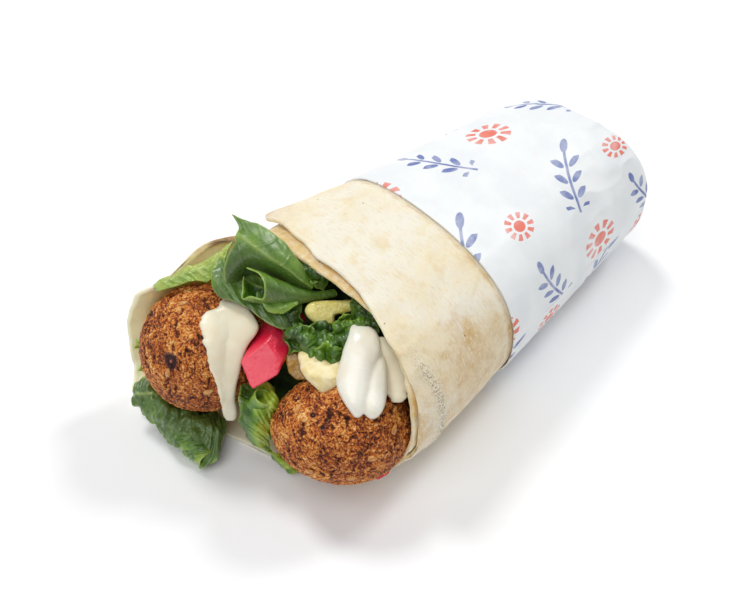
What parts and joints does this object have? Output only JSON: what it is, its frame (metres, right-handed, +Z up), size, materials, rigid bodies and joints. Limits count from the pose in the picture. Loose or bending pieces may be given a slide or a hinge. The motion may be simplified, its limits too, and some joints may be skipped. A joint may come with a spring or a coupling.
{
  "type": "half falafel wrap",
  "caption": "Cut half of a rolled flatbread filled with falafel balls, green leaves, pickles, hummus and sauce, its closed end in a printed paper sleeve. It lies on its side, open end forward.",
  "frame": {"origin": "on the surface it lies on, at the flat underside of the paper sleeve, under the roll's axis", "axes": "+Z up, the roll's length along Y with the open end towards -Y, +X to the right seen from the open end"},
  "size_m": [0.084, 0.1561, 0.0569],
  "materials": {
    "flatbread": "soft cream flatbread, floury, with faint tan toast marks",
    "falafel_crust": "deep-fried crumbly crust, brown with dark pits and golden crumbs",
    "sesame_sauce": "thick beige sauce, moist, soft gloss",
    "white_sauce": "thick white sauce, glossy",
    "pink_turnip": "pickled turnip, magenta pink, wet cut faces",
    "yellow_pickle": "pickled pepper, yellow-green, wet",
    "olive_pickle": "pickled cucumber, olive green, wet",
    "hummus": "pale yellow paste, smooth and soft",
    "leaf": "dark green leaf with pale veins and light green edges, waxy",
    "pale_leaf": "light green crisp leaf, waxy",
    "salad": "shaded green salad inside the roll",
    "paper": "white wrapping paper printed with blue and coral motifs"
  },
  "bodies": {
    "root": {"flatbread": "flatbread", "falafel_left": "falafel_crust", "falafel_right": "falafel_crust", "sauce_left": "sesame_sauce", "sauce_right": "white_sauce", "turnip_stick": "pink_turnip", "turnip_sliver": "pink_turnip", "pickle_wedge": "yellow_pickle", "pickle_slice": "olive_pickle", "hummus": "hummus", "leaf_frill": "leaf", "leaf_roll": "leaf", "leaf_fold": "leaf", "leaf_lobe": "leaf", "leaf_strip": "pale_leaf", "leaf_front": "leaf", "leaf_curl": "leaf", "leaf_side": "leaf", "leaf_tuck": "leaf", "salad_filling": "salad", "paper_wrap": "paper"}
  },
  "joints": []
}
